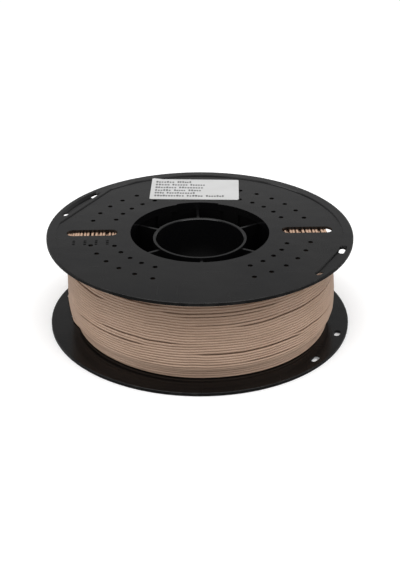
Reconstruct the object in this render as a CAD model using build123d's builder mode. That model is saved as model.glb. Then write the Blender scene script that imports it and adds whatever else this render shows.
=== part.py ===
# A filament spool, in millimetres: side plates snapped onto a ribbed hub core, the filament wound on it,
# the free end of that filament, and a label.
#
# +Z is the spool's axis. The origin is the centre of the lower rim face, which the spool lies on.
# Angles run from +X towards +Y. The two side plates are a mirrored pair.
from build123d import *

import os
from math import cos, degrees, hypot, pi, radians, sin, tan

os.makedirs("parts", exist_ok=True)

# Whole spool
WIDTH = 64.4
FLANGE_R = 100.0
SHEET = 2.4  # thickness of a side plate at its rim
CLOCK = 2.0  # turn of the sight slots from +X

# Side plate
OPENING_R = 45.5
NOTCH_R = 46.8  # shallow notch in the opening's edge, over one rib
NOTCH_HALF_ANGLE = 18.0
NOTCH_ANGLE = CLOCK + 90
RIM_EDGE_FILLET = 0.4
PANEL_R = 93.5  # the sunk panel inside the rim band
PANEL_DEPTH = 0.7
PANEL_CHORD = 87.6  # straight sides of the panel, where it passes the rim holes
PANEL_BEVEL = 0.3  # width of the slope up to the rim band
PANEL_Z = WIDTH - PANEL_DEPTH
INNER_FACE_Z = WIDTH - SHEET

# Rim pockets, each with a filament hole at either end
POCKET_ANGLE = CLOCK + 150
POCKET_CHORD = 90.1
POCKET_OUTER_R = 97.1
POCKET_HALF_ANGLE = 13.9
POCKET_DEPTH = 1.85
POCKET_SLOPE = 1.2  # how far the pocket's walls slope in towards its floor
POCKET_CORNER_R = 1.0
RIM_HOLE_R = 94.4  # radius of the circle that the hole centres lie on
RIM_HOLE_HALF_ANGLE = 11.3
RIM_HOLE_WIDTH = 4.0
RIM_HOLE_LENGTH = 7.4

# Sight slots, with a scale beside one of them: sunk marks, each a column of short bars
SLOT_CENTRE_R = 70.4
SLOT_LENGTH = 33.2
SLOT_WIDTH = 9.0
MARK_COUNT = 4
MARK_CENTRE_R = 70.8
MARK_STEP = 7.2
MARK_OFFSET = 14.8  # from the slot's centre line
BAR_COUNT = 3
BAR_STEP = 2.5
BAR_LENGTH = 2.0
BAR_WIDTH = 1.4
BAR_DEPTH = 0.6

# Rows of small holes on both sides of each slot: row radius, first angle from the slot, holes in the row
SMALL_HOLE_R = 1.6
HOLE_STEP = 10.0
HOLE_ROWS = ((73.05, 15.0, 6), (58.8, 20.0, 5))

# Snap joint between a plate and the drum
DRUM_INNER_R = 47.0
DRUM_OUTER_R = 49.0
FIT_GAP = 0.1
COLLAR_OUTER_R = DRUM_INNER_R - FIT_GAP
COLLAR_HEIGHT = 3.4
TAB_LENGTH = 12.0
TAB_GAP_HALF_ANGLE = 23.0  # of the gaps between the tabs, each centred on a rib
TAB_END_Z = INNER_FACE_Z - TAB_LENGTH
BARB_ROOT_R = (OPENING_R + COLLAR_OUTER_R) / 2
BARB_HALF_ANGLE = 5.0
BARB_OUTER_R = 47.9
BARB_HEIGHT = 2.4
BARB_RAMP = 1.6
WINDOW_HALF_ANGLE = 6.0
WINDOW_GAP = 0.2
SPOKES = 6
CUT_OVERRUN = 1.0  # how far a cut through a wall starts and ends outside it

# Hub core
RIB_ANGLE = CLOCK + 90
RIB_THICKNESS = 1.7
RIB_TOP_Z = WIDTH - 6.25
RIB_CORNER_R = 0.8
BORE_R = 28.75
BORE_RING_OUTER_R = 30.7
BORE_TOP_Z = WIDTH - 5.05
BORE_CHAMFER = 0.4

# Winding
STRAND_R = 0.875
SOFT_GAP = 0.3
# The outside of the winding, as radius and height above the lower plate's inner face
WINDING_OUTLINE = (
    (83.7, 0.3),
    (84.0, 4.2),
    (87.6, 9.5),
    (88.6, 17.0),
    (88.3, 36.0),
    (86.8, 50.0),
    (83.8, 59.3),
)

# Label
LABEL_SIZE = (62.0, 36.4)
LABEL_CENTRE = (-3.6, 69.9)
LABEL_TURN = -1.4
LABEL_THICKNESS = 0.2
LABEL_CORNER_R = 1.5

# The free end's route, as radius, angle and height: it leaves the winding on a tangent, dips through
# one rim hole of the lower plate, lies in the pocket under it and comes up through the other hole.
TAIL_BEND_SHARE = 0.45  # share of the shorter straight run that each bend takes up
TAIL_ROUTE = (
    (84.95, 185.8, 3.75),
    (87.70, 177.0, 4.40),
    (93.30, 166.4, 4.95),
    (94.40, 162.6, 0.92),
    (94.40, 152.0, 0.92),
    (94.40, 141.4, 0.92),
    (94.00, 137.5, 4.95),
    (94.60, 131.6, 5.10),
)


def turned_plane(angle, z):
    """A plane at height z whose X axis points out from the spool's axis at the given angle."""
    return Plane(
        origin=(0, 0, z),
        x_dir=(cos(radians(angle)), sin(radians(angle)), 0),
        z_dir=(0, 0, 1),
    )


def sector(inner_r, outer_r, half_angle):
    """The part of a ring within half_angle of the sketch's X axis."""
    reach = 2 * outer_r
    half_width = reach * tan(radians(half_angle))
    Circle(outer_r)
    Circle(inner_r, mode=Mode.SUBTRACT)
    Polygon((0, 0), (reach, -half_width), (reach, half_width), align=None, mode=Mode.INTERSECT)


def polar(radius, angle, z):
    """The point at a radius, an angle and a height."""
    return Vector(radius * cos(radians(angle)), radius * sin(radians(angle)), z)


def pocket_points(shrink):
    """Four corners of a rim pocket about the X axis and its arc's middle, drawn in by shrink all round."""
    chord = POCKET_CHORD + shrink
    outer_r = POCKET_OUTER_R - shrink
    half_angle = POCKET_HALF_ANGLE - degrees(shrink / outer_r)
    chord_half = chord * tan(radians(half_angle))
    outer_high = Vector(outer_r, 0).rotate(Axis.Z, half_angle)
    outer_low = Vector(outer_r, 0).rotate(Axis.Z, -half_angle)
    return outer_high, (chord, chord_half), (chord, -chord_half), outer_low, (outer_r, 0)


rib_angles = [RIB_ANGLE + i * 360 / SPOKES for i in range(SPOKES)]
tab_angles = [angle + 180 / SPOKES for angle in rib_angles]
pocket_angles = (POCKET_ANGLE, POCKET_ANGLE + 180)
slot_angles = (CLOCK, CLOCK + 180)

# ---------------------------------------------------------------- upper side plate
with BuildPart() as upper_flange:
    with BuildSketch(Plane.XY.offset(INNER_FACE_Z)):
        Circle(FLANGE_R)
    extrude(amount=SHEET)
    rim_edges = upper_flange.edges().filter_by(GeomType.CIRCLE)
    fillet(rim_edges, radius=RIM_EDGE_FILLET)

    # The collar that centres the plate in the drum, cut back between the snap tabs at its end
    with BuildSketch(Plane.XY.offset(TAB_END_Z)):
        Circle(COLLAR_OUTER_R)
    extrude(amount=TAB_LENGTH)
    with Locations((0, 0, WIDTH)):
        Hole(OPENING_R, depth=SHEET + TAB_LENGTH)
    for angle in rib_angles:
        with BuildSketch(turned_plane(angle, TAB_END_Z)):
            sector(OPENING_R - CUT_OVERRUN, COLLAR_OUTER_R + CUT_OVERRUN, TAB_GAP_HALF_ANGLE)
        extrude(amount=TAB_LENGTH - COLLAR_HEIGHT, mode=Mode.SUBTRACT)

    # The sunk panel
    for height, grow in ((PANEL_Z, 0), (WIDTH, PANEL_BEVEL)):
        with BuildSketch(Plane.XY.offset(height)):
            Circle(PANEL_R + grow)
            width = 2 * (PANEL_CHORD + grow)
            Rectangle(width, 2 * FLANGE_R, rotation=POCKET_ANGLE, mode=Mode.INTERSECT)
    loft(ruled=True, mode=Mode.SUBTRACT)

    # Rim pockets and their filament holes
    for angle in pocket_angles:
        for height, shrink in ((WIDTH - POCKET_DEPTH, POCKET_SLOPE), (WIDTH, 0)):
            with BuildSketch(turned_plane(angle, height)) as outline:
                *corners, arc_middle = pocket_points(shrink)
                with BuildLine():
                    Polyline(*corners)
                    ThreePointArc(corners[-1], arc_middle, corners[0])
                make_face()
                fillet(outline.vertices(), radius=POCKET_CORNER_R)
        loft(ruled=True, mode=Mode.SUBTRACT)
        with BuildSketch(turned_plane(angle, WIDTH)):
            with PolarLocations(
                RIM_HOLE_R,
                2,
                start_angle=-RIM_HOLE_HALF_ANGLE,
                angular_range=2 * RIM_HOLE_HALF_ANGLE,
                endpoint=True,
            ):
                SlotOverall(RIM_HOLE_LENGTH, RIM_HOLE_WIDTH, rotation=90)
        extrude(amount=-SHEET, mode=Mode.SUBTRACT)

    # Sight slots and the rows of small holes beside them
    for angle in slot_angles:
        with BuildSketch(turned_plane(angle, WIDTH)):
            with Locations((SLOT_CENTRE_R, 0)):
                SlotOverall(SLOT_LENGTH, SLOT_WIDTH)
            for row_r, first_angle, count in HOLE_ROWS:
                row_span = (count - 1) * HOLE_STEP
                for start in (first_angle, -first_angle - row_span):
                    with PolarLocations(
                        row_r, count, start_angle=start, angular_range=row_span, endpoint=True
                    ):
                        Circle(SMALL_HOLE_R)
        extrude(amount=-SHEET, mode=Mode.SUBTRACT)

    # The scale beside one slot
    with BuildSketch(turned_plane(slot_angles[1], PANEL_Z)):
        with Locations((MARK_CENTRE_R, MARK_OFFSET)):
            with GridLocations(MARK_STEP, BAR_STEP, MARK_COUNT, BAR_COUNT):
                SlotOverall(BAR_LENGTH, BAR_WIDTH)
    extrude(amount=-BAR_DEPTH, mode=Mode.SUBTRACT)

    # A ramped barb on each tab, for a window in the drum
    for angle in tab_angles:
        start = angle - BARB_HALF_ANGLE
        section = Plane(origin=(0, 0, 0), x_dir=polar(1, start, 0), z_dir=polar(1, start - 90, 0))
        with BuildSketch(section):
            Polygon(
                (BARB_ROOT_R, TAB_END_Z),
                (COLLAR_OUTER_R, TAB_END_Z),
                (BARB_OUTER_R, TAB_END_Z + BARB_RAMP),
                (BARB_OUTER_R, TAB_END_Z + BARB_HEIGHT),
                (BARB_ROOT_R, TAB_END_Z + BARB_HEIGHT),
                align=None,
            )
        revolve(axis=Axis.Z, revolution_arc=2 * BARB_HALF_ANGLE)

    # The shallow notch in the opening's edge, through the plate and its collar
    with BuildSketch(turned_plane(NOTCH_ANGLE, WIDTH)):
        sector(OPENING_R - CUT_OVERRUN, NOTCH_R, NOTCH_HALF_ANGLE)
    extrude(amount=-(SHEET + COLLAR_HEIGHT), mode=Mode.SUBTRACT)
upper_flange.part.label = "upper_flange"

# ---------------------------------------------------------------- lower side plate
with BuildPart() as lower_flange:
    mirror(upper_flange.part, about=Plane.XY.offset(WIDTH / 2))
lower_flange.part.label = "lower_flange"

# ---------------------------------------------------------------- hub core
with BuildPart() as hub_core:
    with BuildSketch(Plane.XY.offset(SHEET)):
        Circle(DRUM_OUTER_R)
        Circle(DRUM_INNER_R, mode=Mode.SUBTRACT)
    extrude(amount=WIDTH - 2 * SHEET)

    # The bore ring's blank stands a little proud of the ribs
    with BuildSketch(Plane.XY.offset(WIDTH - BORE_TOP_Z)):
        Circle(BORE_RING_OUTER_R)
    extrude(amount=2 * BORE_TOP_Z - WIDTH)

    # Ribs between the ring and the drum, with rounded roots
    with BuildSketch(Plane.XY.offset(WIDTH - RIB_TOP_Z)) as web:
        Circle(DRUM_OUTER_R)
        Circle(DRUM_INNER_R, mode=Mode.SUBTRACT)
        Circle(BORE_RING_OUTER_R)
        rib_inner_r = (BORE_R + BORE_RING_OUTER_R) / 2
        rib_outer_r = (DRUM_INNER_R + DRUM_OUTER_R) / 2
        with PolarLocations((rib_inner_r + rib_outer_r) / 2, SPOKES, start_angle=RIB_ANGLE):
            Rectangle(rib_outer_r - rib_inner_r, RIB_THICKNESS)
        roots = [v for v in web.vertices() if hypot(v.X, v.Y) < rib_outer_r]
        fillet(roots, radius=RIB_CORNER_R)
    extrude(amount=2 * RIB_TOP_Z - WIDTH)

    # The bore, cut last so that its wall is one face, with a lead-in at each mouth
    with Locations((0, 0, BORE_TOP_Z)):
        Hole(BORE_R, depth=WIDTH)
    bore_mouths = (
        hub_core.edges()
        .filter_by(GeomType.CIRCLE)
        .filter_by(lambda e: abs(e.radius - BORE_R) < FIT_GAP)
    )
    chamfer(bore_mouths, length=BORE_CHAMFER)

    # Windows in the drum for the plates' barbs
    window_height = BARB_HEIGHT + 2 * WINDOW_GAP
    window_low = TAB_END_Z - WINDOW_GAP
    for angle in tab_angles:
        for low in (window_low, WIDTH - window_low - window_height):
            with BuildSketch(turned_plane(angle, low)):
                sector(DRUM_INNER_R - CUT_OVERRUN, DRUM_OUTER_R + CUT_OVERRUN, WINDOW_HALF_ANGLE)
            extrude(amount=window_height, mode=Mode.SUBTRACT)
hub_core.part.label = "hub_core"

# ---------------------------------------------------------------- winding
with BuildPart() as filament_winding:
    with BuildSketch(Plane.XZ):
        with BuildLine():
            outline = [(r, SHEET + height) for r, height in WINDING_OUTLINE]
            inner_low = (DRUM_OUTER_R + SOFT_GAP, outline[0][1])
            inner_high = (DRUM_OUTER_R + SOFT_GAP, outline[-1][1])
            Polyline(inner_high, inner_low, outline[0])
            Spline(outline)
            Line(outline[-1], inner_high)
        make_face()
    revolve(axis=Axis.Z)
filament_winding.part.label = "filament_winding"

# ---------------------------------------------------------------- free end of the filament
tail_points = [polar(*place) for place in TAIL_ROUTE]
tail_radii = []
for before, here, after in zip(tail_points, tail_points[1:], tail_points[2:]):
    turn = (here - before).get_angle(after - here)
    shorter_run = min((here - before).length, (after - here).length)
    tail_radii.append(TAIL_BEND_SHARE * shorter_run / tan(radians(turn) / 2))
with BuildPart() as filament_tail:
    with BuildLine() as tail_route:
        FilletPolyline(*tail_points, radius=tail_radii)
    with BuildSketch(Plane(origin=tail_route.wire() @ 0, z_dir=tail_route.wire() % 0)):
        Circle(STRAND_R)
    sweep(path=tail_route.wire())
filament_tail.part.label = "filament_tail"
print("tail radii", [round(r, 1) for r in tail_radii])
print("tail length", round(tail_route.wire().length, 2))
tube_volume = pi * STRAND_R**2 * tail_route.wire().length
print("tail volume over section times length", round(filament_tail.part.volume / tube_volume, 4))

# ---------------------------------------------------------------- label
with BuildPart() as label:
    with BuildSketch(Plane.XY.offset(PANEL_Z)):
        with Locations(LABEL_CENTRE):
            RectangleRounded(*LABEL_SIZE, LABEL_CORNER_R, rotation=LABEL_TURN)
        # The corner that laps onto the rim band is left off this flat sheet
        Circle(PANEL_R - FIT_GAP, mode=Mode.INTERSECT)
    extrude(amount=LABEL_THICKNESS)
label.part.label = "label"

# ---------------------------------------------------------------- files
for piece in (upper_flange, lower_flange, hub_core, filament_winding, filament_tail, label):
    export_step(piece.part, f"parts/{piece.part.label}.step")
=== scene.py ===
"""The looks of the filament spool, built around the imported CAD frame. Everything is in metres.

The CAD plates and hub core stay and get a moulded plastic material, and the free end of the filament stays
and gets the filament's. The plain winding is replaced by the strand: an outer layer of turns, the layer that
shows between them, the turns that lie against each side plate, and one closed body under them.
The flat label is replaced by a thin sticker whose corner laps onto the rim band.
"""
import math

import bpy
import numpy as np
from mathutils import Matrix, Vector


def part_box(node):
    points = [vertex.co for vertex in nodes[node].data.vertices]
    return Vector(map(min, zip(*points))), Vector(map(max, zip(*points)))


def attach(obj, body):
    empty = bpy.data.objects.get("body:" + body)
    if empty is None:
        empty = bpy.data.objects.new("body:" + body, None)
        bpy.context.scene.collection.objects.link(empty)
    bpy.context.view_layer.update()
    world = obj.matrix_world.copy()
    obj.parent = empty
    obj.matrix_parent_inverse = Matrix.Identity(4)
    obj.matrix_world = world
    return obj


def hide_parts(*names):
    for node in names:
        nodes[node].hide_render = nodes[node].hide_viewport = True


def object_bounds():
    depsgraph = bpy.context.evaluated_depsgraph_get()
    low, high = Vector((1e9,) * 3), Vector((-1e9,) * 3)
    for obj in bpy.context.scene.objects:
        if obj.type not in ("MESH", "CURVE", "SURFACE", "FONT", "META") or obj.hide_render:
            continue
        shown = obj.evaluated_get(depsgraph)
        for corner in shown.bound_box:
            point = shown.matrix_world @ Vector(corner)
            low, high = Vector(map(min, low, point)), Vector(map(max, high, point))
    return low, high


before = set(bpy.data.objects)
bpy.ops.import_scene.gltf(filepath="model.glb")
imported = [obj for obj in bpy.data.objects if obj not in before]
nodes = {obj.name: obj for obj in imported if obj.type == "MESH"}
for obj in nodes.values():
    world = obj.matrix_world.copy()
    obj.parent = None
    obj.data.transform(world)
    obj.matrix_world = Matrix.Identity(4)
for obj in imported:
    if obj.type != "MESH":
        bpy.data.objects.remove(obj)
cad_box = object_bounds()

MM = 0.001
lowest, highest = cad_box
WIDTH = highest.z - lowest.z
RIM_R = (highest.x - lowest.x) / 2

# ------------------------------------------------------------------ camera, floor and light
VIEW_ELEVATION = math.radians(27.7)
VIEW_DISTANCE = 0.805
VIEW_AIM = Vector((0.0001, 0, 0.0239))
SENSOR = 36.0
LENS = 75.84
VIEW_REACH = 50.0  # how far the camera sees
FLOOR_SIZE = 24.0
FLOOR_DROP = 0.05 * MM  # the floor lies this far under the spool
FLOOR_TONE = 0.9
FLOOR_ROUGHNESS = 0.9
FLOOR_SPECULAR = 0.1
FLOOR_GLOW = 0.18
# The surround: height of the direction looked in, from -1 (down) to 1 (up), and its brightness
WORLD_TONES = (
    (-1.0, 0.20),
    (-0.12, 0.25),
    (0.0, 0.64),
    (0.28, 0.62),
    (0.38, 0.47),
    (0.50, 0.26),
    (1.0, 0.20),
)
# Each light: name, place, point it faces, size and power in watts
LIGHTS = (
    ("overhead", (0, -0.3, 2.2), (0, 0, 0), (2.6, 2.2), 52),
    ("left", (-1.3, -0.3, 0.7), (0, 0, 0.03), (0.7, 0.7), 3.5),
    ("right", (1.3, -0.3, 0.7), (0, 0, 0.03), (0.7, 0.7), 3.5),
    ("front_left", (-0.8, -1.14, 0.8), (0, 0, 0.03), (0.8, 0.8), 2.0),
    ("front_right", (0.8, -1.14, 0.8), (0, 0, 0.03), (0.8, 0.8), 2.0),
)


def make_camera():
    data = bpy.data.cameras.new("camera")
    data.sensor_width = SENSOR
    data.lens = LENS
    data.clip_end = VIEW_REACH
    camera = bpy.data.objects.new("camera", data)
    bpy.context.scene.collection.objects.link(camera)
    back = Vector((0, -math.cos(VIEW_ELEVATION), math.sin(VIEW_ELEVATION)))
    camera.location = VIEW_AIM + back * VIEW_DISTANCE
    camera.rotation_euler = (math.pi / 2 - VIEW_ELEVATION, 0, 0)
    bpy.context.scene.camera = camera


def make_area_light(name, place, aim, size, power):
    data = bpy.data.lights.new(name, "AREA")
    data.shape = "RECTANGLE"
    data.size, data.size_y = size
    data.energy = power
    light = bpy.data.objects.new(name, data)
    light.location = place
    light.rotation_euler = (Vector(aim) - Vector(place)).to_track_quat("-Z", "Y").to_euler()
    bpy.context.scene.collection.objects.link(light)


def make_world():
    """A soft surround that is lightest at the horizon and darker overhead."""
    world = bpy.data.worlds.new("studio")
    bpy.context.scene.world = world
    world.use_nodes = True
    tree = world.node_tree
    background = tree.nodes["Background"]
    coordinates = tree.nodes.new("ShaderNodeTexCoord")
    parts = tree.nodes.new("ShaderNodeSeparateXYZ")
    ramp = tree.nodes.new("ShaderNodeValToRGB")
    for _ in WORLD_TONES[2:]:
        ramp.color_ramp.elements.new(0.5)
    for stop, (height, tone) in zip(ramp.color_ramp.elements, WORLD_TONES):
        stop.position = (height + 1) / 2
        stop.color = (tone, tone, tone, 1)
    from_height = tree.nodes.new("ShaderNodeMapRange")
    from_height.inputs["From Min"].default_value = -1
    tree.links.new(coordinates.outputs["Generated"], parts.inputs[0])
    tree.links.new(parts.outputs["Z"], from_height.inputs["Value"])
    tree.links.new(from_height.outputs[0], ramp.inputs["Fac"])
    tree.links.new(ramp.outputs["Color"], background.inputs["Color"])
    background.inputs["Strength"].default_value = 1.0


def make_floor():
    """A pale matt floor that glows a little, so that it stays light away from the spool."""
    half = FLOOR_SIZE / 2
    mesh = bpy.data.meshes.new("floor")
    corners = [(-half, -half, 0), (half, -half, 0), (half, half, 0), (-half, half, 0)]
    mesh.from_pydata(corners, [], [(0, 1, 2, 3)])
    floor = bpy.data.objects.new("floor", mesh)
    floor.location = (0, 0, lowest.z - FLOOR_DROP)
    bpy.context.scene.collection.objects.link(floor)
    material = bpy.data.materials.new("floor")
    material.use_nodes = True
    shader = material.node_tree.nodes["Principled BSDF"]
    shader.inputs["Base Color"].default_value = (FLOOR_TONE, FLOOR_TONE, FLOOR_TONE, 1)
    shader.inputs["Roughness"].default_value = FLOOR_ROUGHNESS
    shader.inputs["Specular IOR Level"].default_value = FLOOR_SPECULAR
    shader.inputs["Emission Color"].default_value = (1, 1, 1, 1)
    shader.inputs["Emission Strength"].default_value = FLOOR_GLOW
    mesh.materials.append(material)
    floor.visible_diffuse = False
    floor.visible_glossy = False


# ------------------------------------------------------------------ materials
# Colours, each as the darker and the lighter tone that it varies between
PLASTIC_TONES = ((0.0030, 0.0030, 0.0034), (0.0042, 0.0040, 0.0040))
# A lighter tone painted in patches on the plates' rim edges: a painted highlight
RIM_HIGHLIGHT_TONE = (0.022, 0.021, 0.020)
FILAMENT_TONES = ((0.520, 0.355, 0.257), (0.580, 0.402, 0.294))
FILAMENT_SPECK = (0.36, 0.24, 0.17)
PAPER_TONES = ((0.535, 0.535, 0.53), (0.575, 0.575, 0.575))
INK_TONES = ((0.06, 0.06, 0.06), (0.19, 0.19, 0.19))
# Depths of the fine relief
PLASTIC_WAVE_DEPTH = 0.12 * MM
PLASTIC_GRAIN_DEPTH = 0.010 * MM
FILAMENT_GRAIN_DEPTH = 0.003 * MM
PAPER_FIBRE_DEPTH = 0.01 * MM
# The band at the plates' rims over which the painted rim highlight comes in, as distances inside the rim
RIM_HIGHLIGHT_START = 0.9 * MM
RIM_HIGHLIGHT_FULL = 0.2 * MM


class Material:
    """A node material around one Principled shader, with short calls for the nodes it needs."""

    def __init__(self, name, colour, roughness, specular=0.5):
        self.material = bpy.data.materials.new(name)
        self.material.use_nodes = True
        self.tree = self.material.node_tree
        self.shader = self.tree.nodes["Principled BSDF"]
        self.shader.inputs["Base Color"].default_value = (*colour, 1)
        self.shader.inputs["Roughness"].default_value = roughness
        self.shader.inputs["Specular IOR Level"].default_value = specular
        self.place = self.node("ShaderNodeTexCoord").outputs["Object"]

    def node(self, kind, **settings):
        made = self.tree.nodes.new(kind)
        for key, value in settings.items():
            setattr(made, key, value)
        return made

    def link(self, source, target):
        self.tree.links.new(source, target)

    def math(self, operation, *values, clamp=False):
        made = self.node("ShaderNodeMath", operation=operation, use_clamp=clamp)
        for socket, value in zip(made.inputs, values):
            if isinstance(value, (int, float)):
                socket.default_value = value
            else:
                self.link(value, socket)
        return made.outputs[0]

    def noise(self, scale, detail=2.0, roughness=0.5, stretch=None, vector=None):
        """Noise of that many cells per metre. stretch makes the cells longer along an axis."""
        vector = vector or self.place
        if stretch:
            mapping = self.node("ShaderNodeMapping")
            mapping.inputs["Scale"].default_value = stretch
            self.link(vector, mapping.inputs["Vector"])
            vector = mapping.outputs[0]
        made = self.node("ShaderNodeTexNoise")
        made.inputs["Scale"].default_value = scale
        made.inputs["Detail"].default_value = detail
        made.inputs["Roughness"].default_value = roughness
        self.link(vector, made.inputs["Vector"])
        return made.outputs["Fac"]

    def ranged(self, value, low, high, to_low, to_high):
        made = self.node("ShaderNodeMapRange")
        made.interpolation_type = "SMOOTHSTEP"
        self.link(value, made.inputs["Value"])
        limits = (("From Min", low), ("From Max", high), ("To Min", to_low), ("To Max", to_high))
        for name, number in limits:
            made.inputs[name].default_value = number
        return made.outputs[0]

    def radius(self):
        """Distance from the spool's axis."""
        parts = self.node("ShaderNodeSeparateXYZ")
        self.link(self.place, parts.inputs[0])
        squares = [self.math("MULTIPLY", parts.outputs[i], parts.outputs[i]) for i in (0, 1)]
        return self.math("SQRT", self.math("ADD", *squares))

    def mix(self, factor, first, second):
        made = self.node("ShaderNodeMix", data_type="RGBA")
        self.link(factor, made.inputs["Factor"])
        for socket, value in ((made.inputs["A"], first), (made.inputs["B"], second)):
            if isinstance(value, tuple):
                socket.default_value = (*value, 1)
            else:
                self.link(value, socket)
        return made.outputs["Result"]

    def bump(self, height, distance, strength=1.0, under=None):
        made = self.node("ShaderNodeBump")
        made.inputs["Distance"].default_value = distance
        made.inputs["Strength"].default_value = strength
        self.link(height, made.inputs["Height"])
        if under:
            self.link(under, made.inputs["Normal"])
        return made.outputs["Normal"]


def moulded_plastic():
    """Black moulded plastic: fine texture, slightly uneven gloss, handling scuffs, and a rougher rim edge
    with a painted highlight in patches.
    """
    m = Material("black_moulded_plastic", (0.0042, 0.0042, 0.0046), 0.22, specular=0.32)
    cloudy = m.noise(26, detail=3)
    grain = m.noise(2600, detail=2, roughness=0.6)
    waves = m.noise(55, detail=1)
    scratch_a = m.ranged(m.noise(900, detail=1, stretch=(1, 0.02, 1)), 0.70, 0.78, 0, 1)
    scratch_b = m.ranged(m.noise(700, detail=1, stretch=(0.03, 1, 1)), 0.71, 0.79, 0, 1)
    scratches = m.math("MAXIMUM", scratch_a, scratch_b)
    # A band at the rim, broken into noisy patches, gets a painted highlight and more roughness
    rim_highlight_band = m.ranged(m.radius(), RIM_R - RIM_HIGHLIGHT_START, RIM_R - RIM_HIGHLIGHT_FULL, 0, 1)
    rim_highlight = m.math("MULTIPLY", rim_highlight_band, m.ranged(m.noise(120, detail=4), 0.45, 0.7, 0, 1))
    colour = m.mix(m.ranged(cloudy, 0.3, 0.7, 0, 1), *PLASTIC_TONES)
    # Lighter colour in those patches: a painted highlight on the rim edge
    colour = m.mix(m.math("MULTIPLY", rim_highlight, 0.5), colour, RIM_HIGHLIGHT_TONE)
    m.link(colour, m.shader.inputs["Base Color"])
    roughness = m.ranged(cloudy, 0.25, 0.75, 0.18, 0.25)
    roughness = m.math("ADD", roughness, m.math("MULTIPLY", scratches, 0.10))
    roughness = m.math("ADD", roughness, m.math("MULTIPLY", rim_highlight, 0.15), clamp=True)
    m.link(roughness, m.shader.inputs["Roughness"])
    normal = m.bump(waves, PLASTIC_WAVE_DEPTH)
    normal = m.bump(grain, PLASTIC_GRAIN_DEPTH, under=normal)
    m.link(normal, m.shader.inputs["Normal"])
    return m.material


def filament_plastic():
    """Tan filament: satin surface with a slight change of tone and fine specks."""
    m = Material("tan_filament", (0.54, 0.37, 0.27), 0.33, specular=0.5)
    tone = m.noise(45, detail=3, stretch=(1, 1, 6))
    specks = m.noise(1500, detail=2, roughness=0.7)
    colour = m.mix(m.ranged(tone, 0.3, 0.7, 0, 1), *FILAMENT_TONES)
    colour = m.mix(m.ranged(specks, 0.62, 0.75, 0, 0.10), colour, FILAMENT_SPECK)
    m.link(colour, m.shader.inputs["Base Color"])
    m.link(m.ranged(specks, 0.3, 0.7, 0.26, 0.37), m.shader.inputs["Roughness"])
    m.link(m.bump(specks, FILAMENT_GRAIN_DEPTH), m.shader.inputs["Normal"])
    return m.material


def paper():
    """Coated label paper with faint fibres."""
    m = Material("label_paper", (0.70, 0.70, 0.70), 0.5, specular=0.4)
    fibres = m.noise(900, detail=4, roughness=0.65)
    clouds = m.noise(60, detail=2)
    colour = m.mix(m.ranged(clouds, 0.3, 0.7, 0, 1), *PAPER_TONES)
    m.link(colour, m.shader.inputs["Base Color"])
    m.link(m.ranged(fibres, 0.3, 0.7, 0.42, 0.55), m.shader.inputs["Roughness"])
    m.link(m.bump(fibres, PAPER_FIBRE_DEPTH), m.shader.inputs["Normal"])
    return m.material


def ink():
    """Printed grey ink, slightly uneven."""
    m = Material("label_ink", (0.16, 0.16, 0.16), 0.55, specular=0.4)
    uneven = m.noise(1800, detail=3, roughness=0.7)
    colour = m.mix(m.ranged(uneven, 0.35, 0.7, 0, 1), *INK_TONES)
    m.link(colour, m.shader.inputs["Base Color"])
    m.link(m.ranged(uneven, 0.3, 0.7, 0.45, 0.6), m.shader.inputs["Roughness"])
    return m.material


# ------------------------------------------------------------------ mesh helpers
def new_piece(name, vertices, faces, material, replaced=(), smooth=True):
    mesh = bpy.data.meshes.new(name)
    mesh.from_pydata([tuple(v) for v in vertices], [], [tuple(f) for f in faces])
    mesh.update()
    mesh.polygons.foreach_set("use_smooth", [smooth] * len(mesh.polygons))
    mesh.materials.append(material)
    piece = bpy.data.objects.new(name, mesh)
    bpy.context.scene.collection.objects.link(piece)
    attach(piece, "root")
    if replaced:
        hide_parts(*replaced)
    return piece


def full_circle(count):
    """Evenly spaced angles round a whole turn."""
    return np.arange(count) * 2 * np.pi / count


def smooth_step(share):
    """Eases a share from 0 to 1, level at both ends."""
    return share * share * (3 - 2 * share)


def tube(paths, sides, radius, closed):
    """Vertices and faces of round strands. Each path is three arrays: angle, radius and height."""
    around = full_circle(sides)
    vertices, faces, first = [], [], 0
    for angle, r, z in paths:
        ring_r = r[:, None] + radius * np.cos(around)[None, :]
        ring_z = z[:, None] + radius * np.sin(around)[None, :]
        ring_x = ring_r * np.cos(angle)[:, None]
        ring_y = ring_r * np.sin(angle)[:, None]
        vertices.append(np.stack([ring_x, ring_y, ring_z], -1).reshape(-1, 3))
        count = len(angle)
        steps = count if closed else count - 1
        i = np.arange(steps)[:, None]
        k = np.arange(sides)[None, :]
        here, there = i * sides, ((i + 1) % count) * sides
        beside = (k + 1) % sides
        quads = np.stack([here + k, there + k, there + beside, here + beside], -1).reshape(-1, 4) + first
        faces.extend(quads.tolist())
        if not closed:
            faces.append((first + np.arange(sides)).tolist())
            faces.append((first + (count - 1) * sides + np.arange(sides)[::-1]).tolist())
        first += count * sides
    return np.concatenate(vertices), faces


# ------------------------------------------------------------------ winding
STRAND_R = 0.875 * MM
PITCH = 2 * STRAND_R
SAMPLES = 192  # round one turn
TURNS = 32
LAYER_STEP = PITCH * math.sqrt(3) / 2  # from one layer of turns to the next
CROSSING_ANGLE = math.radians(75)  # where every turn steps over to the next groove, at the back
CROSSING_SPAN = math.radians(38)
TAIL_LEAVES = (84.95 * MM, math.radians(185.8), 3.75 * MM)  # where the free end leaves the winding
CLIMB_SPAN = math.radians(13)  # over which the strand climbs to the free end
RISE_SPAN = math.radians(30)  # over which it comes up from the layer below
PROFILE_SAMPLES = 400
SAME_HEIGHT = 1e-6  # heights closer than this are one height
OUTER_SIDES = 10  # sides of the round strand in each layer
SIDE_SIDES = 8
BELOW_SIDES = 6
SEED = 7


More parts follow.
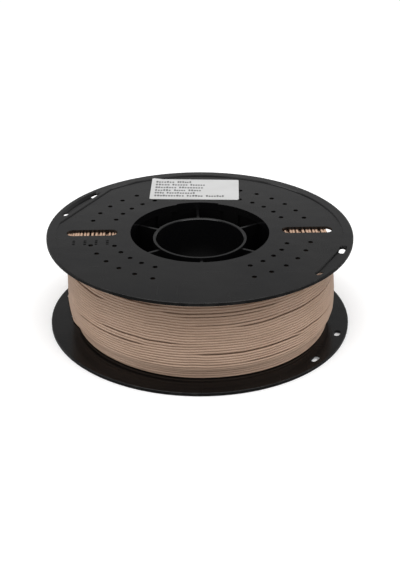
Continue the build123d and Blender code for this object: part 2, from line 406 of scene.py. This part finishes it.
def winding_profile():
    """Heights and radii of the outer layer's centre line, from the CAD winding's outer face."""
    co = np.array([v.co for v in nodes["filament_winding"].data.vertices])
    r = np.hypot(co[:, 0], co[:, 1])
    outer = r > 0.5 * (r.min() + r.max())
    heights = np.unique(np.round(co[outer, 2], 6))
    radii = np.array([r[outer][np.abs(co[outer, 2] - h) < SAME_HEIGHT].max() for h in heights])
    low, high = heights[0] + STRAND_R, heights[-1] - STRAND_R
    z = np.linspace(low, high, PROFILE_SAMPLES)
    return z, np.interp(z, heights, radii) - STRAND_R


def lobe(angle, centre_degrees, power):
    """1 at the centre angle, falling to 0 on the other side. A higher power makes it narrower."""
    return (0.5 + 0.5 * np.cos(angle - math.radians(centre_degrees))) ** power


# How far the winding stands out from the even profile, in mm: a row for each angle, a value for each height
SWELL_HEIGHTS = np.array((2.7, 6, 10, 16, 26, 40, 52, 61.7)) * MM
SWELL_ANGLES = (0, 180, 225, 270, 315, 360)
SWELL = (
    (2.4, 1.2, 0.2, 0.9, 0.9, -0.1, -0.2, -0.3),
    (-2.3, -1.0, -2.4, -2.1, -0.8, -0.8, -0.6, 3.2),
    (-2.0, 0.5, -1.3, -1.6, -0.7, -0.6, -0.5, 0.6),
    (-0.1, 1.1, 0.1, -0.6, -0.4, -0.3, -0.3, -0.3),
    (1.4, 1.7, 0.6, -0.3, 0.2, -0.1, -0.2, -0.3),
    (2.4, 1.2, 0.2, 0.9, 0.9, -0.1, -0.2, -0.3),
)


def swell(angle, z):
    """The winding's unevenness at an angle and height, blended smoothly between the rows of the table."""
    turned = np.degrees(angle) % 360
    total = 0
    for i, (first, last) in enumerate(zip(SWELL_ANGLES, SWELL_ANGLES[1:])):
        share = np.clip((turned - first) / (last - first), 0, 1)
        share = smooth_step(share)
        before, after = (np.interp(z, SWELL_HEIGHTS, SWELL[k]) for k in (i, i + 1))
        total = total + ((turned >= first) & (turned < last)) * (before * (1 - share) + after * share) * MM
    return total


def wander(random, angle, count, harmonics):
    """Smooth periodic noise over the angle, one row for each of count turns, about -1 to 1."""
    rows = np.zeros((count, len(angle)))
    for k in range(1, harmonics + 1):
        phase = random.uniform(0, 2 * np.pi, (count, 1))
        size = random.uniform(0.3, 1.0, (count, 1)) / math.sqrt(k)
        rows += size * np.cos(k * angle[None, :] + phase)
    return rows / math.sqrt(harmonics)


# Wide grooves in the outer layer: first and last angle in degrees, then height and extra gap in mm
GROOVES = (
    (-168, -134, 47.2, 1.00),
    (-142, -108, 52.6, 0.69),
    (-134, -100, 27.6, 0.81),
    (-152, -114, 23.4, 0.94),
    (-104, -58, 48.6, 0.56),
    (-96, -64, 46.6, 0.38),
    (-92, -58, 41.0, 0.38),
    (-74, 4, 39.4, 0.88),
    (-90, -46, 20.6, 1.06),
    (-46, 8, 21.4, 1.06),
    (-94, -34, 7.6, 0.75),
    (-40, 6, 10.0, 0.75),
    (-146, -90, 11.2, 0.38),
    (-70, -48, 12.0, 0.44),
    (20, 64, 33.0, 0.75),
    (92, 140, 44.0, 0.88),
    (110, 150, 17.5, 0.75),
    (140, 176, 30.0, 0.62),
    (30, 70, 14.0, 0.62),
)
GROOVE_SOFTNESS = math.radians(7)
LOW_TURNS = 6  # the lowest turns lie a little further apart
LOW_TURN_GAP = 0.27 * MM
GAP_CONTRAST = 1.1  # how unevenly the room that is left is shared between the gaps
TURN_HARMONICS = 3
TURN_UNEVENNESS = 0.10 * MM  # how far a turn stands in or out


def lay_outer_turns(random):
    """Radius and height of each turn of the outer layer at each angle, as closed rings from the lowest up."""
    angle = full_circle(SAMPLES)
    z_profile, r_profile = winding_profile()
    along = np.concatenate([[0], np.cumsum(np.hypot(np.diff(z_profile), np.diff(r_profile)))])
    spare = along[-1] - (TURNS - 1) * PITCH
    even = along[-1] / (TURNS - 1)
    gaps = np.zeros((TURNS - 1, SAMPLES))
    for first, last, height, width in GROOVES:
        middle = math.radians((first + last) / 2)
        half = math.radians((last - first) / 2)
        away = np.abs((angle - middle + np.pi) % (2 * np.pi) - np.pi)
        window = np.clip((half - away) / GROOVE_SOFTNESS + 0.5, 0, 1)
        turn = int(round(np.interp(height * MM, z_profile, along) / even - 0.5))
        gaps[turn] += width * MM * smooth_step(window)
    gaps[:LOW_TURNS] += LOW_TURN_GAP
    weights = np.exp(GAP_CONTRAST * wander(random, angle, TURNS - 1, TURN_HARMONICS))
    weights /= weights.sum(0)
    left_over = spare - gaps.sum(0)
    gaps += weights * left_over[None, :]
    places = np.concatenate([np.zeros((1, SAMPLES)), np.cumsum(PITCH + gaps, 0)])
    z = np.interp(places, along, z_profile)
    r = np.interp(places, along, r_profile)
    r += swell(angle[None, :], z) + TURN_UNEVENNESS * wander(random, angle, TURNS, TURN_HARMONICS)
    return angle, r, z


def strand_path(angle, r, z, from_top):
    """One continuous strand through the rings, stepping from each ring to the next in the crossing zone.

    It runs clockwise seen from above. Returns its unrolled angle, radius and height.
    """
    order = list(range(len(r)))
    if from_top:
        order.reverse()
    start = CROSSING_ANGLE - CROSSING_SPAN / 2
    turned = full_circle(SAMPLES)
    at = start - turned
    into = np.clip((turned - (2 * np.pi - CROSSING_SPAN)) / CROSSING_SPAN, 0, 1)
    blend = smooth_step(into)
    closed = np.append(angle, 2 * np.pi)
    rows = []
    for i, ring in enumerate(order):
        follower = order[min(i + 1, len(order) - 1)]
        samples = []
        for value in (r, z):
            here = np.interp(at % (2 * np.pi), closed, np.append(value[ring], value[ring][0]))
            there = np.interp(at % (2 * np.pi), closed, np.append(value[follower], value[follower][0]))
            samples.append(here * (1 - blend) + there * blend)
        rows.append((at - i * 2 * np.pi, *samples))
    return [np.concatenate(parts) for parts in zip(*rows)]


def leave_winding(path):
    """Ends the strand where the CAD tail begins, with an eased climb to the tail's end."""
    angle, r, z = path
    leave_r, leave_angle, leave_z = TAIL_LEAVES
    last_turn = angle[-1]
    end = leave_angle + 2 * np.pi * math.floor((last_turn - leave_angle) / (2 * np.pi)) + 2 * np.pi
    kept = angle > end
    angle, r, z = angle[kept], r[kept], z[kept]
    climb = np.clip(1 - (angle - end) / CLIMB_SPAN, 0, 1)
    climb = smooth_step(climb)
    r = r * (1 - climb) + leave_r * climb
    z = z * (1 - climb) + leave_z * climb
    return np.append(angle, end), np.append(r, leave_r), np.append(z, leave_z)


def rise_from_below(path):
    """The strand comes up from the layer below at its first end."""
    angle, r, z = path
    sunk = np.clip(1 - (angle[0] - angle) / RISE_SPAN, 0, 1)
    return angle, r - LAYER_STEP * smooth_step(sunk), z


# The turns against a side plate, seen through its sight slots: radius at the left and the right slot, then
# how far the turn sits below the others there, all in mm
SIDE_TURNS = (
    (50.4, 50.4, 0, 0),
    (52.3, 52.4, 0, 0),
    (55.1, 54.5, 0, 1.5),
    (56.9, 56.6, 0, 0),
    (59.2, 58.5, 0, 1.6),
    (61.2, 60.3, 1.6, 0),
    (63.0, 62.1, 0, 0),
    (65.0, 64.6, 0, 0),
    (66.6, 66.4, 1.5, 1.6),
    (67.8, 68.4, 0, 0),
    (70.5, 71.0, 0, 0),
    (73.4, 72.8, 0, 0),
    (75.4, 75.3, 0, 0),
    (77.7, 77.3, 0, 0),
    (79.6, 79.1, 0, 1.5),
    (81.2, 80.9, 0, 0),
    (83.0, 82.3, 0.2, 1.5),
    (84.8, 83.4, 0.5, 1.5),
)
NARROWER_BELOW = 3  # outermost turns of the table that the lower side lacks, where the winding draws in
SIDE_HARMONICS = 6
SIDE_UNEVENNESS = 0.10 * MM
DEEPER_DROP = 3.4 * MM  # of the turns further in, below those beside them
DEEPER_UNEVENNESS = 0.3 * MM


def side_turns(random, top):
    """The turns that lie against a side plate, and turns further in that show between them."""
    angle = full_circle(SAMPLES)
    low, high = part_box("filament_winding")
    face = high.z if top else low.z
    inward = -1 if top else 1
    table = SIDE_TURNS if top else SIDE_TURNS[:-NARROWER_BELOW]
    left, right = lobe(angle, 180, 1), lobe(angle, 0, 1)
    depth_noise = wander(random, angle, 2 * len(table), SIDE_HARMONICS)
    paths = []
    for i, (left_r, right_r, left_sunk, right_sunk) in enumerate(table):
        r = (left_r * left + right_r * right) * MM
        sunk = (left_sunk * left + right_sunk * right) * MM + SIDE_UNEVENNESS * (1 + depth_noise[i])
        paths.append((angle, r, face + inward * (STRAND_R + sunk)))
    for i, (here, there) in enumerate(zip(paths, paths[1:])):
        between_r = (here[1] + there[1]) / 2
        deeper = DEEPER_DROP + DEEPER_UNEVENNESS * depth_noise[len(table) + i]
        level = np.minimum(here[2], there[2]) if top else np.maximum(here[2], there[2])
        paths.append((angle, between_r, level + inward * deeper))
    return paths


BODY_COLUMNS = 96
BODY_ROWS = 30
BODY_END_GAP = 3.2 * MM  # from each side of the winding
BODY_INNER_R = 49.4 * MM  # just outside the drum
BODY_LAYERS_IN = 1.55  # layers between its outside and the outer layer's centre line


def under_body():
    """A closed body under the turns, so that nothing shows through between them."""
    low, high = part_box("filament_winding")
    z_profile, r_profile = winding_profile()
    angle = full_circle(BODY_COLUMNS)
    heights = np.linspace(low.z + BODY_END_GAP, high.z - BODY_END_GAP, BODY_ROWS)
    section_r = [np.full(len(angle), BODY_INNER_R)]
    section_z = [heights[0]]
    for z in heights:
        outer = np.interp(z, z_profile, r_profile) + swell(angle, z) - BODY_LAYERS_IN * LAYER_STEP
        section_r.append(outer)
        section_z.append(z)
    section_r.append(np.full(len(angle), BODY_INNER_R))
    section_z.append(heights[-1])
    vertices = [
        (r[j] * math.cos(a), r[j] * math.sin(a), z)
        for r, z in zip(section_r, section_z)
        for j, a in enumerate(angle)
    ]
    rows, columns = len(section_r), len(angle)
    faces = []
    for i in range(rows):
        for j in range(columns):
            beside = (j + 1) % columns
            above = (i + 1) % rows
            low_row, high_row = i * columns, above * columns
            faces.append((low_row + j, low_row + beside, high_row + beside, high_row + j))
    return vertices, faces


def build_winding(material):
    random = np.random.RandomState(SEED)
    angle, r, z = lay_outer_turns(random)
    path = leave_winding(rise_from_below(strand_path(angle, r, z, from_top=True)))
    vertices, faces = tube([path], OUTER_SIDES, STRAND_R, closed=False)
    new_piece("winding_outer_layer", vertices, faces, material, ["filament_winding"])

    between_r = (r[:-1] + r[1:]) / 2 - LAYER_STEP
    between_z = (z[:-1] + z[1:]) / 2
    path = strand_path(angle, between_r, between_z, from_top=False)
    vertices, faces = tube([path], BELOW_SIDES, STRAND_R, closed=False)
    new_piece("winding_layer_below", vertices, faces, material, ["filament_winding"])

    for name, top in (("winding_top_side", True), ("winding_bottom_side", False)):
        vertices, faces = tube(side_turns(random, top), SIDE_SIDES, STRAND_R, closed=True)
        new_piece(name, vertices, faces, material, ["filament_winding"])

    vertices, faces = under_body()
    new_piece("winding_inner_layers", vertices, faces, material, ["filament_winding"])


# ------------------------------------------------------------------ label
LABEL_SIZE = (62.0 * MM, 35.4 * MM)
LABEL_CENTRE = (-3.6 * MM, 69.4 * MM)
LABEL_TURN = math.radians(-1.4)
LABEL_CORNER_R = 1.5 * MM
LABEL_THICKNESS = 0.12 * MM
LABEL_CLEARANCE = 0.02 * MM  # between the paper and the plate
LABEL_LIFT_RUN = 2.0 * MM  # how far inside the step the paper starts to rise
LABEL_GRID = (62, 74)
INK_THICKNESS = 0.012 * MM
# The plate's sunk panel, as in the CAD
PANEL_R = 93.5 * MM
PANEL_BEVEL = 0.3 * MM
PANEL_DEPTH = 0.7 * MM
# The printed lines: each is its place down the label, then its words as first and last share of the width
PRINTED_LINES = (
    (0.150, (0.05, 0.265), (0.295, 0.46)),
    (0.290, (0.05, 0.215), (0.240, 0.42), (0.445, 0.62)),
    (0.429, (0.05, 0.295), (0.320, 0.60)),
    (0.569, (0.05, 0.235), (0.265, 0.40), (0.430, 0.58)),
    (0.701, (0.05, 0.160), (0.185, 0.51)),
    (0.841, (0.05, 0.390), (0.415, 0.60), (0.630, 0.84)),
)
MARK_PITCH = 0.030  # from one letter-sized mark to the next, as a share of the label's width
MARK_HEIGHTS = (0.062, 0.085)  # of low and tall marks, as shares of the label's height
MARK_GAP = 0.24  # of the pitch
MARK_GAP_SPREAD = (0.7, 1.3)
MARK_CORNER_R = 0.35 * MM
MARK_GRID = (3, 4)
TALL_MARK_SHARE = 0.3


def label_height(x, y):
    """Underside of the label: flat on the sunk panel, and lifted where it laps onto the rim band."""
    r = np.hypot(x, y)
    lap = np.clip((r - (PANEL_R - LABEL_LIFT_RUN)) / (LABEL_LIFT_RUN + PANEL_BEVEL), 0, 1)
    return WIDTH - PANEL_DEPTH + LABEL_CLEARANCE + lap * PANEL_DEPTH


def label_point(u, v):
    """The X and Y of a place on the label, from its distances along and across about the label's centre."""
    x = LABEL_CENTRE[0] + u * np.cos(LABEL_TURN) - v * np.sin(LABEL_TURN)
    y = LABEL_CENTRE[1] + u * np.sin(LABEL_TURN) + v * np.cos(LABEL_TURN)
    return x, y


def sheet_grid(u0, u1, v0, v1, grid, corner, thickness, lift):
    """A thin closed sheet over a rounded rectangle, following the label's underside plus lift."""
    columns, rows = grid
    half_u, half_v = (u1 - u0) / 2, (v1 - v0) / 2
    mid_u, mid_v = (u0 + u1) / 2, (v0 + v1) / 2
    layers = []
    for up in (0, thickness):
        for j in range(rows + 1):
            v = -half_v + 2 * half_v * j / rows
            # The half width shrinks over the rounded corners
            over = max(0.0, abs(v) - (half_v - corner))
            width = half_u - corner + math.sqrt(max(corner * corner - over * over, 0.0))
            for i in range(columns + 1):
                u = -width + 2 * width * i / columns
                x, y = label_point(mid_u + u, mid_v + v)
                layers.append((x, y, float(label_height(x, y)) + lift + up))
    stride = columns + 1
    count = stride * (rows + 1)
    faces = []
    for j in range(rows):
        for i in range(columns):
            a = j * stride + i
            faces.append((a + stride, a + stride + 1, a + 1, a))
            faces.append((count + a, count + a + 1, count + a + stride + 1, count + a + stride))
    border = list(range(stride))
    border += [j * stride + columns for j in range(1, rows + 1)]
    border += [rows * stride + i for i in range(columns - 1, -1, -1)]
    border += [j * stride for j in range(rows - 1, 0, -1)]
    for here, there in zip(border, border[1:] + border[:1]):
        faces.append((here, there, count + there, count + here))
    return layers, faces


def build_label(paper_material, ink_material):
    half_u, half_v = LABEL_SIZE[0] / 2, LABEL_SIZE[1] / 2
    outline = (-half_u, half_u, -half_v, half_v)
    vertices, faces = sheet_grid(*outline, LABEL_GRID, LABEL_CORNER_R, LABEL_THICKNESS, lift=0)
    new_piece("label_sticker", vertices, faces, paper_material, ["label"], smooth=False)
    random = np.random.RandomState(SEED)
    all_vertices, all_faces = [], []
    for from_top, *words in PRINTED_LINES:
        base = half_v - (from_top + MARK_HEIGHTS[0] / 2) * LABEL_SIZE[1]
        for first, last in words:
            count = round((last - first) / MARK_PITCH)
            pitch = (last - first) / count
            for i in range(count):
                height = MARK_HEIGHTS[int(i == 0 or random.uniform() < TALL_MARK_SHARE)] * LABEL_SIZE[1]
                u0 = (first + i * pitch - 0.5) * LABEL_SIZE[0]
                u1 = u0 + pitch * (1 - MARK_GAP * random.uniform(*MARK_GAP_SPREAD)) * LABEL_SIZE[0]
                outline = (u0, u1, base, base + height)
                vertices, faces = sheet_grid(
                    *outline, MARK_GRID, MARK_CORNER_R, INK_THICKNESS, lift=LABEL_THICKNESS
                )
                first_vertex = len(all_vertices)
                all_vertices += vertices
                all_faces += [tuple(first_vertex + i for i in face) for face in faces]
    new_piece("label_print", all_vertices, all_faces, ink_material, smooth=False)


# ------------------------------------------------------------------ everything together
bpy.context.scene.view_settings.view_transform = "Standard"
make_camera()
make_world()
make_floor()
for light in LIGHTS:
    make_area_light(*light)

black = moulded_plastic()
for name in ("upper_flange", "lower_flange", "hub_core"):
    nodes[name].data.materials.clear()
    nodes[name].data.materials.append(black)
tan = filament_plastic()
nodes["filament_tail"].data.materials.clear()
nodes["filament_tail"].data.materials.append(tan)
build_winding(tan)
build_label(paper(), ink())
